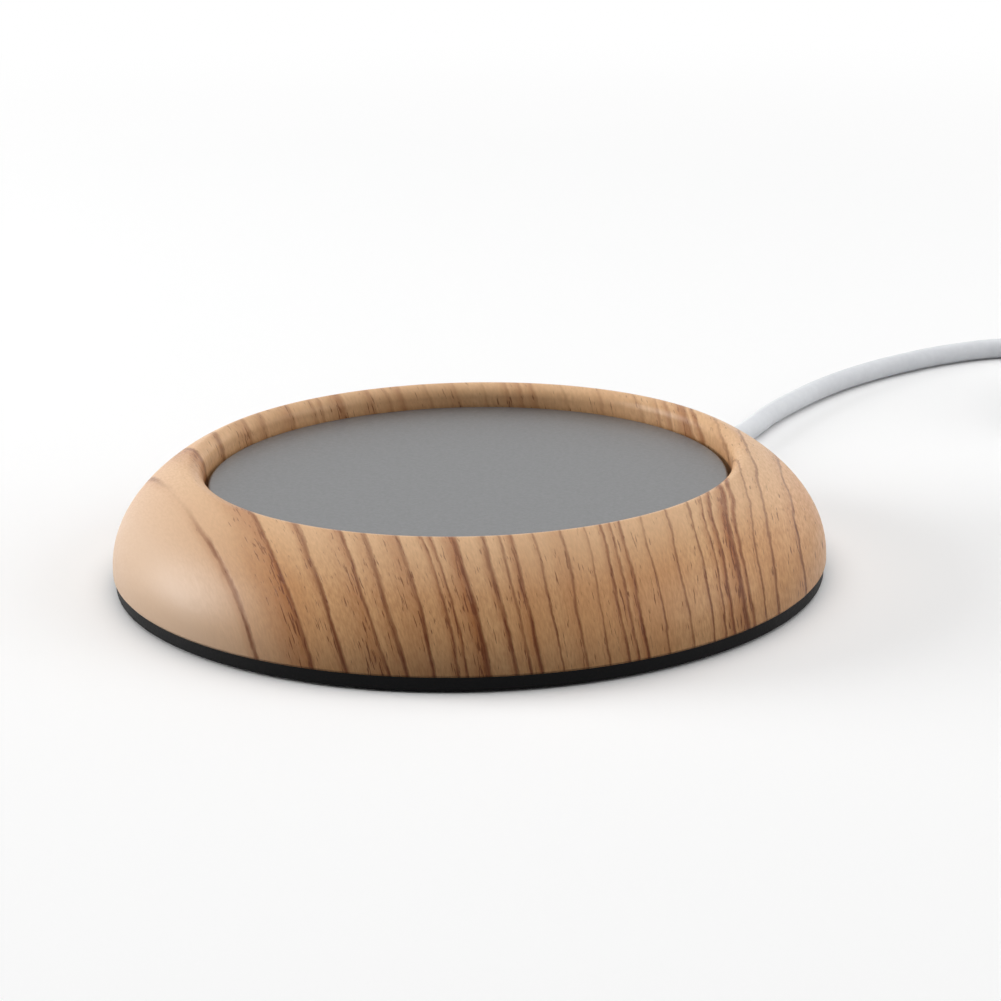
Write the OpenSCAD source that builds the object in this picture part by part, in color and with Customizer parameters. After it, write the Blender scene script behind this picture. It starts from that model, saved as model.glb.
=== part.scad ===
// Electric mug warmer: a low round casing with a wood-grain rim and a recessed
// aluminium heating plate, a black base, and a USB lead with an in-line rocker switch.
// Millimetres, +Z up. The origin is the centre of the footprint, on the table.
// The lead leaves the casing along +Y.

/* [Casing] */
// Diameter of the casing at its widest
case_d = 110; // [108:1:120]
// Height of the crest of the rim above the table
case_h = 18.7; // [18:0.1:21]
// Height of the widest point of the rim
widest_z = 3.4; // [3.2:0.1:5]
// Level stretch of the rim beyond its crest, as a share of the shoulder
shoulder_level = 0.08; // [0.05:0.01:0.5]
// Upright stretch of the rim above its widest point, as a share of its height
shoulder_upright = 0.62; // [0.4:0.01:0.75]
// Wall of the rim moulding
wall = 2; // [1.6:0.1:2.4]
// Height of the seam between the rim and the base cover
seam_z = 2.4; // [2.3:0.1:2.8]
// Setback of the base cover's edge behind the rim
base_inset = 0.3; // [0.2:0.1:1]
// Radius of the base cover's lower edge
base_edge_r = 0.4; // [0.3:0.1:1]
// Number of stiffening ribs inside the rim
rib_count = 24; // [12:4:32]
// Thickness of every rib
rib_t = 1.2; // [0.8:0.1:1.6]
// Height of the lower edge of the rim's ribs
rib_z = 9; // [8:0.5:11]
// Height of the base cover's ribs above its floor
base_rib_h = 1.6; // [1:0.1:2]

/* [Casing joint] */
// Gap between the base cover's locating lip and the rim
lip_gap = 0.2; // [0.1:0.05:0.4]
// Thickness of the locating lip
lip_t = 1.4; // [1:0.1:1.8]
// Height of the locating lip above the seam
lip_h = 2; // [1.5:0.1:2]
// Distance of the base screws from the casing's edge
base_screw_inset = 9; // [8.6:0.1:9.4]
// Diameter of the bosses that the base screws hold to
base_boss_d = 6.4; // [5.6:0.1:7]
// Height of the base cover's screw cups above the table
cup_h = 4.2; // [4:0.1:5]
// Thickness of plastic under each base screw's head
cup_seat_t = 1.2; // [1:0.1:1.5]
// Shank diameter of the base screws
base_screw_d = 2.6; // [2.2:0.1:3]
// Shank length of the base screws
base_screw_l = 8; // [6:0.5:9]

/* [Foot ring] */
// Outer diameter of the rubber foot ring
foot_d = 82; // [70:1:84]
// Inner diameter of the rubber foot ring
foot_bore = 46; // [30:1:60]
// Thickness of the foot ring
foot_t = 1.1; // [1:0.1:1.4]
// Height of the base cover above the table
foot_proud = 0.3; // [0.2:0.1:0.6]

/* [Heating plate] */
// Diameter of the heating plate
plate_d = 80; // [76:1:82]
// Thickness of the heating plate
plate_t = 2; // [1.6:0.1:2.4]
// Depth of the plate below the crest of the rim
plate_recess = 3.4; // [2.5:0.1:4]
// Gap between the plate and the rim around it
plate_gap = 0.7; // [0.4:0.1:1.2]
// Radius of the plate's upper edge
plate_edge_r = 0.4; // [0.2:0.1:0.8]
// Radius of the lip that rolls from the rim's crest down to the plate
lip_r = 2; // [1.2:0.1:2.4]
// Width of the ledge under the plate's edge
seat_w = 2.4; // [2:0.1:3]
// Thickness of the ledge
ledge_t = 1.2; // [1:0.1:1.5]
// Thickness of the silicone seal between plate and ledge
seal_t = 0.6; // [0.4:0.1:0.8]
// Diameter of the screw bosses under the plate
plate_boss_d = 5.6; // [5:0.1:6]
// Room between those bosses and the ledge
plate_boss_gap = 1.8; // [1.7:0.1:2]

/* [Heater] */
// Outer diameter of the heater film
film_d = 58; // [56:1:59]
// Thickness of the heater film
film_t = 0.3; // [0.2:0.1:0.5]
// Width of the etched heater track
track_w = 1.2; // [0.8:0.1:1.4]
// Thickness of the heater track
track_t = 0.2; // [0.1:0.05:0.3]
// Spacing of the track's turns
track_pitch = 2.2; // [2:0.1:2.3]
// Number of the track's turns
track_turns = 7; // [5:2:7]
// Diameter of the solder pads at the track's ends
pad_spot_d = 3.4; // [2.6:0.1:4]
// Thickness of the insulation pad
pad_t = 2; // [1.5:0.1:2.5]
// Diameter of the window in the film and the shield
window_d = 24; // [23:0.5:25]
// Thickness of the heat shield's sheet
shield_t = 0.8; // [0.5:0.1:1]
// Shank diameter of the shield's screws
shield_screw_d = 2.5; // [2:0.1:3]
// Shank length of the shield's screws
shield_screw_l = 4; // [3:0.5:4]
// Length of the thermal cut-out
cutout_l = 20; // [18:0.5:20]
// Width of the thermal cut-out
cutout_w = 7.8; // [6:0.2:8]
// Height of the thermal cut-out
cutout_h = 3.5; // [3:0.1:4]
// Diameter of the insulated wires
wire_d = 1.2; // [1:0.1:1.4]

/* [Lead] */
// Diameter of the lead
cord_d = 3.8; // [3.4:0.1:4]
// Diameter of the strain relief where it passes the rim
neck_d = 5.4; // [5:0.1:5.8]
// Width of the strain relief's flange and collar beyond its neck
flange_rim = 0.7; // [0.5:0.1:0.8]
// Thickness of the flange and of the collar
flange_t = 1.2; // [0.8:0.1:1.5]
// Length of the strain relief outside its collar
relief_l = 7.6; // [6:0.2:9]
// Height of the lead's axis above the casing's seam
exit_rise = 2.2; // [2.1:0.1:2.4]
// Wall of the saddle beside the strain relief
saddle_t = 1.2; // [1:0.1:1.4]
// Middle diameter of the coil
coil_d = 42; // [38:1:46]
// Turns side by side, and one above the other, in the coil's bundle
coil_rows = 3; // [2:1:3]
// Thickness of the tie round the coil
tie_t = 0.8; // [0.5:0.1:1]
// Angle of the coil that the tie covers
tie_angle = 22; // [14:1:30]

/* [Switch] */
// Length of the in-line switch
switch_l = 46; // [44:1:50]
// Width of the in-line switch
switch_w = 18; // [17:0.5:20]
// Height of the in-line switch at its middle
switch_h = 12; // [11.5:0.1:12.5]
// Height of the switch's ends
switch_end_h = 9.6; // [9.4:0.1:10.5]
// Corner radius of the switch, seen from above
switch_corner_r = 6; // [4:0.5:7]
// Wall of the switch's shells
switch_wall = 1.6; // [1.2:0.1:1.8]
// Height of the seam between the switch's shells
switch_seam_z = 5.6; // [5.4:0.1:6]
// Radius of the rocker's ends about its pivot
rocker_r = 7.7; // [7.4:0.1:8]
// Width of the rocker
rocker_w = 8.4; // [7.6:0.1:9]
// Height of the rocker's pivot
pivot_z = 8.6; // [8.4:0.1:8.8]
// Diameter of the rocker's trunnions
trunnion_d = 2.4; // [2:0.1:2.6]
// Length of each trunnion
trunnion_l = 1.6; // [1.2:0.1:1.8]
// Gap between the rocker and its opening
rocker_gap = 0.3; // [0.2:0.05:0.4]
// Full travel of the rocker
rocker_angle = 14; // [10:1:16]

/* [USB plug] */
// Length of the plug's grip
grip_l = 22; // [20:1:26]
// Width of the plug's grip
grip_w = 15.6; // [15:0.1:17]
// Thickness of the plug's grip
grip_h = 8; // [7.5:0.1:9]
// Length of the plug's tail
tail_l = 12; // [8:1:14]

/* [Hidden] */
$fn = 96;

// A hair of overlap where a cut passes a face, and the fit round a pin or cord
over = 0.5;
fit = 0.05;

// Casing
case_r = case_d / 2;
plate_r = plate_d / 2;
bay_r = plate_r + plate_gap;
crest_r = bay_r + lip_r;
shoulder_w = case_r - crest_r;
base_r = case_r - base_inset;
base_screw_r = case_r - base_screw_inset;
boss_back_r = bay_r + wall;

// Stack of the heater, from the plate down
plate_top = case_h - plate_recess;
plate_z = plate_top - plate_t;
ledge_top = plate_z - seal_t;
ledge_z = ledge_top - ledge_t;
ledge_r = plate_r - seat_w;
film_z = plate_z - film_t;
track_z = film_z - track_t;
pad_z = track_z - pad_t;
shield_z = pad_z - shield_t;
plate_boss_r = ledge_r - plate_boss_gap - plate_boss_d / 2;
shield_r = bay_r - 0.9;
window_r = window_d / 2;
pad_bore_r = window_r + 5;
pad_r = film_d / 2 + 0.5;
cutout_z = plate_z - cutout_h;
screw_angles = [45, 135, 225, 315];

// Wire slot in the pad and the shield, below the track's solder pads
spot_x = 5;
spot_y = 24.5;
slot_l = 2 * spot_x + 6;
slot_w = 6;

// Thermal cut-out: its tabs bend down through the window
tab_t = 0.4;
tab_w = 2.4;
tab_out = 0.8;
tab_x = cutout_l / 2 + tab_out;
tab_end_z = shield_z - 2.6;
joint_x = tab_x + tab_t + wire_d / 2;
joint_z = tab_end_z + wire_d;
clip_w = 5;
clip_t = 0.5;
clip_screw_y = window_r + 3;
clip_screw_d = 2;

// Lead inside the casing
neck_r = neck_d / 2;
flange_r = neck_r + flange_rim;
cord_r = cord_d / 2;
exit_z = seam_z + exit_rise;
saddle_x = neck_r + saddle_t;
block_x = saddle_x + 1.4;
relief_seat_y = case_r - wall - 1.4;
collar_y = case_r + 0.2;
relief_end_y = collar_y + flange_t + relief_l;
clamp_y = base_screw_r - 1.5;
clamp_l = 5;
clamp_w = 16;
clamp_h = 3.5;
clamp_screw_x = 5.4;
clamp_screw_d = 2.2;
bed_z = exit_z - 0.3;
inlet_y = clamp_y - clamp_l / 2 - 1.5;
// Half of the rim's arc that has no ribs where the lead comes out
rib_free_angle = 12;

// Coil, switch and plug on the table
coil_at = [58, 143];
// Turns of one row lie in the hollows of the row below
row_rise = cord_d * sin(60);
bundle_w = coil_rows * cord_d;
bundle_h = cord_d + (coil_rows - 1) * row_rise;
coil_z = tie_t;
low_turn_z = coil_z + cord_r;
next_turn_z = low_turn_z + row_rise;
switch_at = [86, 87];
switch_turn = -90;
pivot_at = [0, 0, pivot_z];
rocker_rest = -rocker_angle / 2;
switch_grip = 3.5;
switch_screw_x = 14.5;
plug_at = [118, 62];
plug_turn = 90;
plug_z = grip_h / 2;
plug_bore_l = 8;

// Route of the lead from the strain relief to the coil, resting on the table
power_route = [
    [0, relief_end_y, exit_z],
    [0, relief_end_y + 2, exit_z],
    [0, 70, 3.9],
    [0, 75, 2.6],
    [-0.2, 80, cord_r],
    [-1.2, 87, cord_r],
    [-2.9, 96, cord_r],
    [-4, 108, cord_r],
    [-4.2, 119, cord_r],
    [-3.2, 130, cord_r],
    [-0.4, 142, cord_r],
    [3.8, 153.5, cord_r],
    [10, 163, cord_r],
    [19, 170.5, cord_r],
    [31, 175.5, cord_r],
    [43, 176.5, cord_r],
    [54.5, 173.5, cord_r + 0.4],
    [64, 168, low_turn_z],
    [71.5, 161.5, low_turn_z]
];
// From the coil to the switch, and from the switch to the plug
switch_route = [
    [82.8, 143, next_turn_z],
    [82.8, 138, next_turn_z - 0.5],
    [83.2, 131, 4.7],
    [84.2, 124, 4.4],
    [85.4, 117, 5],
    [86, switch_at[1] + switch_l / 2, switch_seam_z],
    [86, switch_at[1] + switch_l / 2 - switch_grip, switch_seam_z]
];
plug_route = [
    [86, switch_at[1] - switch_l / 2 + switch_grip, switch_seam_z],
    [86, switch_at[1] - switch_l / 2, switch_seam_z],
    [86, 58, 4.7],
    [87.2, 50, 2.9],
    [90.7, 44.7, cord_r + 0.2],
    [96, 41.2, cord_r],
    [102, 40, cord_r],
    [108, 41.2, cord_r],
    [113.3, 44.7, cord_r + 0.2],
    [116.8, 50, 2.9],
    [plug_at[0], plug_at[1] - 6, plug_z],
    [plug_at[0], plug_at[1], plug_z],
    [plug_at[0], plug_at[1] + plug_bore_l, plug_z]
];

// ---------- curves ----------
function bezier(a, b, c, d, t) =
    pow(1 - t, 3) * a + 3 * pow(1 - t, 2) * t * b + 3 * (1 - t) * t * t * c + pow(t, 3) * d;
function slope(a, b, c, d, t) =
    3 * pow(1 - t, 2) * (b - a) + 6 * (1 - t) * t * (c - b) + 3 * t * t * (d - c);
function unit(v) = v / norm(v);
function arc(centre, r, from, to, n) =
    [for (i = [0:n]) centre + r * [cos(from + (to - from) * i / n), sin(from + (to - from) * i / n)]];

// Points of a smooth rail through hand-placed points, with its own ends kept
function rail_point(a, b, c, d, t) =
    0.5 * (2 * b + (c - a) * t + (2 * a - 5 * b + 4 * c - d) * t * t
        + (3 * b - a - 3 * c + d) * t * t * t);
function rail(p, steps) = let (n = len(p)) concat(
    [for (i = [0:n - 2]) for (k = [0:steps - 1])
        rail_point(p[max(i - 1, 0)], p[i], p[i + 1], p[min(i + 2, n - 1)], k / steps)],
    [p[n - 1]]);
// Heading at each point of a rail, given the headings of its two square ends
function headings(p, ends) = concat(
    [ends[0]], [for (i = [1:len(p) - 2]) unit(p[i + 1] - p[i - 1])], [ends[1]]);
function carried(h, side, i = 0) = i == len(h) ? [] :
    let (s = unit(side - (side * h[i]) * h[i])) concat([s], carried(h, s, i + 1));

// A round tube along a rail: one ring of points at each place of the rail
module tube(points, d, steps = 1, sides = 8) {
    n = len(points);
    p = rail(points, steps);
    h = headings(p, [unit(points[1] - points[0]), unit(points[n - 1] - points[n - 2])]);
    side = carried(h, abs(h[0][2]) > 0.9 ? [1, 0, 0] : [0, 0, 1]);
    rings = len(p);
    polyhedron(
        points = [for (i = [0:rings - 1]) for (k = [0:sides - 1])
            let (a = 360 * k / sides)
            p[i] + d / 2 * (cos(a) * side[i] + sin(a) * cross(h[i], side[i]))],
        faces = concat(
            [[for (k = [0:sides - 1]) k]],
            [for (i = [0:rings - 2]) for (k = [0:sides - 1])
                [i * sides + k, (i + 1) * sides + k,
                 (i + 1) * sides + (k + 1) % sides, i * sides + (k + 1) % sides]],
            [[for (k = [sides - 1:-1:0]) (rings - 1) * sides + k]]));
}

// ---------- shared shapes ----------
module ring(r_out, r_in, h) {
    difference() {
        cylinder(r = r_out, h = h);
        translate([0, 0, -over]) cylinder(r = r_in, h = h + 2 * over);
    }
}

module rounded_plate(l, w, h, r) {
    linear_extrude(h) {
        square([l - 2 * r, w], center = true);
        square([l, w - 2 * r], center = true);
        for (x = [-1, 1], y = [-1, 1]) translate([x * (l / 2 - r), y * (w / 2 - r)]) circle(r, $fn = 32);
    }
}

// Pan-head screw, its head below z = 0 and its shank upward
module screw(d, l, head_d, head_h) {
    rotate_extrude($fn = 48) polygon(concat(
        [[0, -head_h + 0.5], [d * 0.28, -head_h + 0.5], [d * 0.28, -head_h]],
        arc([head_d / 2 - 0.4, -head_h + 0.4], 0.4, -90, 0, 4),
        [[head_d / 2, 0], [d / 2, 0], [d / 2, l - d / 3], [d / 5, l], [0, l]]));
}

module along_y(y, z) {
    translate([0, y, z]) rotate([-90, 0, 0]) children();
}

module at_screws(r) {
    for (a = screw_angles) rotate(a) translate([r, 0, 0]) children();
}

// ---------- rim ----------
crest_pt = [crest_r, case_h];
crest_handle = [crest_r + shoulder_level * shoulder_w, case_h];
waist_handle = [case_r, widest_z + shoulder_upright * (case_h - widest_z)];
waist_pt = [case_r, widest_z];
// Rim's outside at share t from crest to widest point, set in by depth
function shoulder(t, depth) =
    let (s = unit(slope(crest_pt, crest_handle, waist_handle, waist_pt, t)))
    bezier(crest_pt, crest_handle, waist_handle, waist_pt, t) + depth * [s[1], -s[0]];
shoulder_steps = 12;
// Wall of the plate's bay and the lip that rolls from it out to the crest
function lip_roll() = concat([[bay_r, ledge_top]], arc(crest_pt - [0, lip_r], lip_r, 180, 90, 5));

// Section of the rim as a solid, set in by depth from its outside
function rim_section(depth, inner_r, bottom) = concat(
    [for (i = [0:2:shoulder_steps]) shoulder(i / shoulder_steps, depth)],
    [[case_r - depth, bottom], [inner_r, bottom]]);

// Inside of the rim up to the middle of its wall, which bounds what is moulded inside it
module rim_core() {
    rotate_extrude() polygon(rim_section(wall / 2, bay_r + wall / 2, seam_z));
}

module rim_skin() {
    rotate_extrude() polygon(concat(
        [[ledge_r, ledge_z], [ledge_r, ledge_top]],
        lip_roll(),
        [for (i = [1:shoulder_steps]) shoulder(i / shoulder_steps, 0)],
        [[case_r, seam_z + 0.3], [case_r - 0.3, seam_z], [case_r - wall, seam_z]],
        [for (i = [shoulder_steps:-2:4]) shoulder(i / shoulder_steps, wall)],
        [[boss_back_r, shoulder(4 / shoulder_steps, wall)[1]], [boss_back_r, ledge_z]]));
}

module rim_rib() {
    rotate([90, 0, 0]) translate([0, 0, -rib_t / 2]) linear_extrude(rib_t) intersection() {
        polygon(rim_section(wall / 2, bay_r + wall / 2, seam_z));
        translate([bay_r, rib_z]) square([case_r, case_h]);
    }
}

module rim_shell() {
    color("burlywood") difference() {
        union() {
            rim_skin();
            // Ribs between the screw bosses and clear of the lead
            for (i = [0:rib_count - 1]) {
                a = 360 * (i + 0.5) / rib_count;
                if (abs(a - 90) > rib_free_angle) rotate(a) rim_rib();
            }
            intersection() {
                rim_core();
                union() {
                    at_screws(base_screw_r) cylinder_from(cup_h, case_h, base_boss_d / 2);
                    // Block with a flat seat for the strain relief's flange
                    translate([-block_x, relief_seat_y, seam_z])
                        cube([2 * block_x, case_r, exit_z + neck_r + rib_t - seam_z]);
                }
            }
        }
        at_screws(base_screw_r) cylinder_from(cup_h - over, cup_h + base_screw_l, base_screw_d / 2 + fit);
        // Round notch over the strain relief, the slot below it for the base's saddle,
        // and the pocket for the flange
        along_y(relief_seat_y - over, exit_z) cylinder(r = neck_r + fit, h = case_r, $fn = 48);
        translate([-saddle_x - fit, relief_seat_y - over, seam_z - over])
            cube([2 * (saddle_x + fit), case_r, exit_z - seam_z + over]);
        along_y(relief_seat_y - 2 * flange_t, exit_z)
            cylinder(r = flange_r + fit, h = 2 * flange_t, $fn = 48);
    }
}

// ---------- base ----------
lip_out_r = case_r - wall - lip_gap;
lip_chamfer = 0.6;
floor_ring_r = foot_bore / 2 - 2;
spoke_l = clamp_y - clamp_l / 2 - floor_ring_r - 2;
flange_gap = flange_t + 1;
module base_cover() {
    color("#1c1c1e") difference() {
        union() {
            rotate_extrude($fn = 128) polygon(concat(
                [[0, foot_proud]],
                arc([base_r - base_edge_r, foot_proud + base_edge_r], base_edge_r, -90, 0, 5),
                [[base_r, seam_z], [lip_out_r, seam_z], [lip_out_r, seam_z + lip_h - lip_chamfer],
                 [lip_out_r - lip_chamfer, seam_z + lip_h], [lip_out_r - lip_t, seam_z + lip_h],
                 [lip_out_r - lip_t, seam_z], [0, seam_z]]));
            at_screws(base_screw_r) cylinder_from(seam_z - over, cup_h, base_boss_d / 2 + 0.6);
            // Ring rib and spokes that stiffen the floor
            translate([0, 0, seam_z - over]) ring(floor_ring_r, floor_ring_r - rib_t, base_rib_h + over);
            for (a = [0:30:330]) if (a != 90) rotate(a)
                translate([floor_ring_r - rib_t / 2, -rib_t / 2, seam_z - over])
                    cube([spoke_l, rib_t, base_rib_h + over]);
            // Bed under the lead, and the saddle that fills the rim's slot
            translate([-clamp_w / 2, clamp_y - clamp_l / 2, seam_z - over])
                cube([clamp_w, clamp_l, bed_z - seam_z + over]);
            intersection() {
                cylinder(r = base_r - 0.1, h = case_h);
                translate([-saddle_x, relief_seat_y + fit, seam_z - over])
                    cube([2 * saddle_x, case_r, exit_z - fit - seam_z + over]);
            }
        }
        // Recess for the foot ring
        translate([0, 0, -over]) ring(foot_d / 2 + fit, foot_bore / 2 - fit, foot_t + over);
        // Screw holes with sunk seats
        at_screws(base_screw_r) {
            cylinder_from(-over, cup_h - cup_seat_t, base_screw_d);
            cylinder_from(-over, cup_h + over, base_screw_d / 2 + 0.2);
        }
        // Gap in the locating lip for the strain relief's flange and the rim's block
        translate([-block_x - lip_gap, relief_seat_y - flange_gap, seam_z])
            cube([2 * (block_x + lip_gap), flange_gap + fit, lip_h + over]);
        for (s = [0, 1]) mirror([s, 0, 0]) translate([saddle_x, relief_seat_y, seam_z])
            cube([block_x + lip_gap - saddle_x, case_r, lip_h + over]);
        // Grooves for the lead and for the strain relief's flange and neck
        along_y(inlet_y, exit_z) cylinder(r = cord_r + fit, h = case_r, $fn = 48);
        along_y(relief_seat_y - flange_t - fit, exit_z)
            cylinder(r = flange_r + fit, h = flange_t + fit, $fn = 48);
        along_y(relief_seat_y, exit_z) cylinder(r = neck_r + fit, h = case_r, $fn = 48);
        for (s = [-1, 1]) translate([s * clamp_screw_x, clamp_y, 0])
            cylinder_from(seam_z - 0.6, bed_z + over, clamp_screw_d / 2 + fit);
    }
}

module cylinder_from(z0, z1, r) {
    translate([0, 0, z0]) cylinder(r = r, h = z1 - z0, $fn = 48);
}

module foot_ring() {
    color("#26262a") ring(foot_d / 2, foot_bore / 2, foot_t);
}

module base_screws() {
    color("silver") at_screws(base_screw_r) translate([0, 0, cup_h - cup_seat_t])
        screw(base_screw_d, base_screw_l, base_screw_d * 1.75, 1.5);
}

// ---------- heating plate and heater ----------
module heating_plate() {
    color("#9b9b9b") difference() {
        union() {
            rotate_extrude($fn = 128) polygon(concat(
                [[0, plate_z], [plate_r - 0.2, plate_z], [plate_r, plate_z + 0.2]],
                arc([plate_r - plate_edge_r, plate_top - plate_edge_r], plate_edge_r, 0, 90, 4),
                [[0, plate_top]]));
            at_screws(plate_boss_r) cylinder_from(pad_z, plate_z + over, plate_boss_d / 2);
        }
        at_screws(plate_boss_r) cylinder_from(pad_z - over, shield_z + shield_screw_l + 0.2,
            shield_screw_d / 2 + fit);
    }
}

module plate_seal() {
    color("#d8d4cc") translate([0, 0, ledge_top]) ring(plate_r - 0.4, ledge_r + 0.3, seal_t);
}

module heater_film() {
    color("#c98a2b") translate([0, 0, film_z]) ring(film_d / 2, window_r + 0.5, film_t);
}

// Track: concentric arcs joined end to end, fed at two solder pads
track_gap = 36;
track_in_r = window_r + 2.5;
track_out_r = track_in_r + (track_turns - 1) * track_pitch;
feed_x = 2.5;
function on_track(r, a) = r * [cos(a), sin(a)];

module track_arc(r) {
    difference() {
        circle(r + track_w / 2);
        circle(r - track_w / 2);
        polygon([[0, 0], on_track(2 * r, 90 - track_gap / 2), on_track(2 * r, 90 + track_gap / 2)]);
    }
}

module track_bar(from, to) {
    way = to - from;
    translate(from) rotate(atan2(way[1], way[0])) translate([0, -track_w / 2]) square([norm(way), track_w]);
}

module heater_track() {
    left = 90 + track_gap / 2;
    right = 90 - track_gap / 2;
    inner_end = on_track(track_in_r, right);
    color("#b87333") translate([0, 0, track_z]) linear_extrude(track_t) {
        for (i = [0:track_turns - 1]) track_arc(track_in_r + i * track_pitch);
        // Links at alternate ends of the arcs
        for (i = [0:track_turns - 2]) {
            r = track_in_r + i * track_pitch;
            a = (track_turns - 1 - i) % 2 == 1 ? right : left;
            track_bar(on_track(r, a), on_track(r + track_pitch, a));
        }
        // Feeds from the outer and the inner end to the solder pads
        track_bar(on_track(track_out_r, left), [-spot_x, spot_y]);
        track_bar(inner_end, [feed_x - track_w / 2, inner_end[1]]);
        track_bar([feed_x, inner_end[1] - track_w / 2], [feed_x, spot_y + track_w / 2]);
        track_bar([feed_x, spot_y], [spot_x, spot_y]);
        for (s = [-1, 1]) translate([s * spot_x, spot_y]) circle(d = pad_spot_d, $fn = 32);
    }
}

module wire_slot(z, h) {
    translate([0, spot_y, z - over]) rounded_plate(slot_l, slot_w, h + 2 * over, slot_w / 2 - 0.2);
}

module insulation_pad() {
    color("#e8e4d8") difference() {
        translate([0, 0, pad_z]) ring(pad_r, pad_bore_r, pad_t);
        wire_slot(pad_z, pad_t);
    }
}

module heat_shield() {
    color("#b9bcc0") difference() {
        rotate_extrude($fn = 128) polygon([
            [window_r, shield_z], [ledge_r - 1.2, shield_z], [ledge_r - 0.5, ledge_z - shield_t],
            [shield_r, ledge_z - shield_t], [shield_r, ledge_z], [ledge_r - 0.9, ledge_z],
            [ledge_r - 1.6, pad_z], [window_r, pad_z]]);
        wire_slot(shield_z, shield_t);
        at_screws(plate_boss_r) cylinder_from(shield_z - over, pad_z + over, shield_screw_d / 2 + 0.2);
        for (s = [-1, 1]) translate([0, s * clip_screw_y, 0])
            cylinder_from(shield_z - over, pad_z + over, clip_screw_d / 2 + fit);
    }
}

module shield_screws() {
    color("silver") at_screws(plate_boss_r) translate([0, 0, shield_z])
        screw(shield_screw_d, shield_screw_l, shield_screw_d * 1.8, 1.5);
}

module thermal_cutout() {
    color("#30343a") translate([0, 0, cutout_z]) rounded_plate(cutout_l, cutout_w, cutout_h, 1.5);
}

module cutout_tabs() {
    tab_z = cutout_z + cutout_h / 2;
    color("#d9d9d9") for (s = [0, 180]) rotate(s) {
        translate([cutout_l / 2, -tab_w / 2, tab_z]) cube([tab_out + tab_t, tab_w, tab_t]);
        translate([tab_x, -tab_w / 2, tab_end_z]) cube([tab_t, tab_w, tab_z - tab_end_z + tab_t]);
    }
}

module cutout_clip() {
    foot_y = clip_screw_y + 2.4;
    bend_y = window_r + 0.4;
    hold_y = cutout_w / 2 + 2;
    thin = 0.2;
    color("silver") difference() {
        rotate([90, 0, 90]) translate([0, 0, -clip_w / 2]) linear_extrude(clip_w) polygon([
            [-foot_y, shield_z], [-bend_y, shield_z], [-hold_y, cutout_z],
            [hold_y, cutout_z], [bend_y, shield_z], [foot_y, shield_z],
            [foot_y, shield_z - clip_t], [bend_y - thin, shield_z - clip_t],
            [hold_y - thin, cutout_z - clip_t], [thin - hold_y, cutout_z - clip_t],
            [thin - bend_y, shield_z - clip_t], [-foot_y, shield_z - clip_t]]);
        for (s = [-1, 1]) translate([0, s * clip_screw_y, 0])
            cylinder_from(shield_z - clip_t - over, shield_z + over, clip_screw_d / 2 + 0.1);
    }
}

module clip_screws() {
    color("silver") for (s = [-1, 1]) translate([0, s * clip_screw_y, shield_z - clip_t])
        screw(clip_screw_d, 2.6, clip_screw_d * 1.8, 1.2);
}

// ---------- wires ----------
// Each wire leaves its end square, runs above the base's ribs and ends at a tab or a pad
wire_x = wire_d * 0.68;
wire_z = seam_z + base_rib_h + wire_d;
wire_out = 1.5;
wire_step = 0.75 * slot_w;
sleeve_y = 3.2;
sleeve_l = 5;
sleeve_end_y = sleeve_y + sleeve_l;
function pad_end(x) = [[x, spot_y, shield_z], [x, spot_y, track_z - 1], [x, spot_y, track_z]];

module live_wire() {
    color("#c0392b") tube([
        [wire_x, inlet_y, exit_z], [wire_x, inlet_y - wire_out, exit_z],
        [3, inlet_y - clamp_l, wire_z - 0.4], [1.5 * spot_x, spot_y + wire_step, wire_z],
        [joint_x - 0.6, spot_y - wire_step, wire_z + 0.8],
        [joint_x, sleeve_end_y + sleeve_l, joint_z - 0.4],
        [joint_x, sleeve_end_y + 1, joint_z], [joint_x, sleeve_y, joint_z],
        [joint_x, -tab_w / 2, joint_z]], wire_d, 3);
}

module link_wire() {
    color("#e67e22") tube(concat([
        [-joint_x, -tab_w / 2, joint_z], [-joint_x, sleeve_y, joint_z],
        [-joint_x, sleeve_end_y + 1, joint_z], [0.6 - joint_x, sleeve_end_y + 1.2 * sleeve_l, joint_z - 0.4],
        [-1.9 * spot_x, spot_y - wire_step, joint_z - 0.8], [-spot_x - 1.4, spot_y - 1, joint_z]],
        pad_end(-spot_x)), wire_d, 3);
}

module return_wire() {
    color("#222222") tube(concat([
        [-wire_x, inlet_y, exit_z], [-wire_x, inlet_y - wire_out, exit_z],
        [-0.6, inlet_y - clamp_l, wire_z], [1.2, spot_y + 1.2 * wire_step, wire_z + 1],
        [spot_x - 1, spot_y + 1.5, joint_z]],
        pad_end(spot_x)), wire_d, 3);
}

module wire_sleeves() {
    color("#3a3a3a") for (s = [-1, 1]) translate([s * joint_x, sleeve_y, joint_z]) rotate([-90, 0, 0])
        ring(wire_d / 2 + 0.45, wire_d / 2 + 0.1, sleeve_l, $fn = 24);
}

// ---------- lead: clamp, strain relief, stretches ----------
module cord_clamp() {
    color("#1c1c1e") difference() {
        translate([0, clamp_y, bed_z]) rounded_plate(clamp_w, clamp_l, clamp_h, 1.2);
        along_y(clamp_y - clamp_l, exit_z) cylinder(r = cord_r + fit, h = 2 * clamp_l, $fn = 48);
        for (s = [-1, 1]) translate([s * clamp_screw_x, clamp_y, 0])
            cylinder_from(bed_z - over, bed_z + clamp_h + over, clamp_screw_d / 2 + 0.15);
    }
}

module clamp_screws() {
    color("silver") for (s = [-1, 1]) translate([s * clamp_screw_x, clamp_y, bed_z + clamp_h])
        mirror([0, 0, 1]) screw(clamp_screw_d, clamp_h + bed_z - seam_z, clamp_screw_d * 1.8, 1.2);
}

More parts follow.
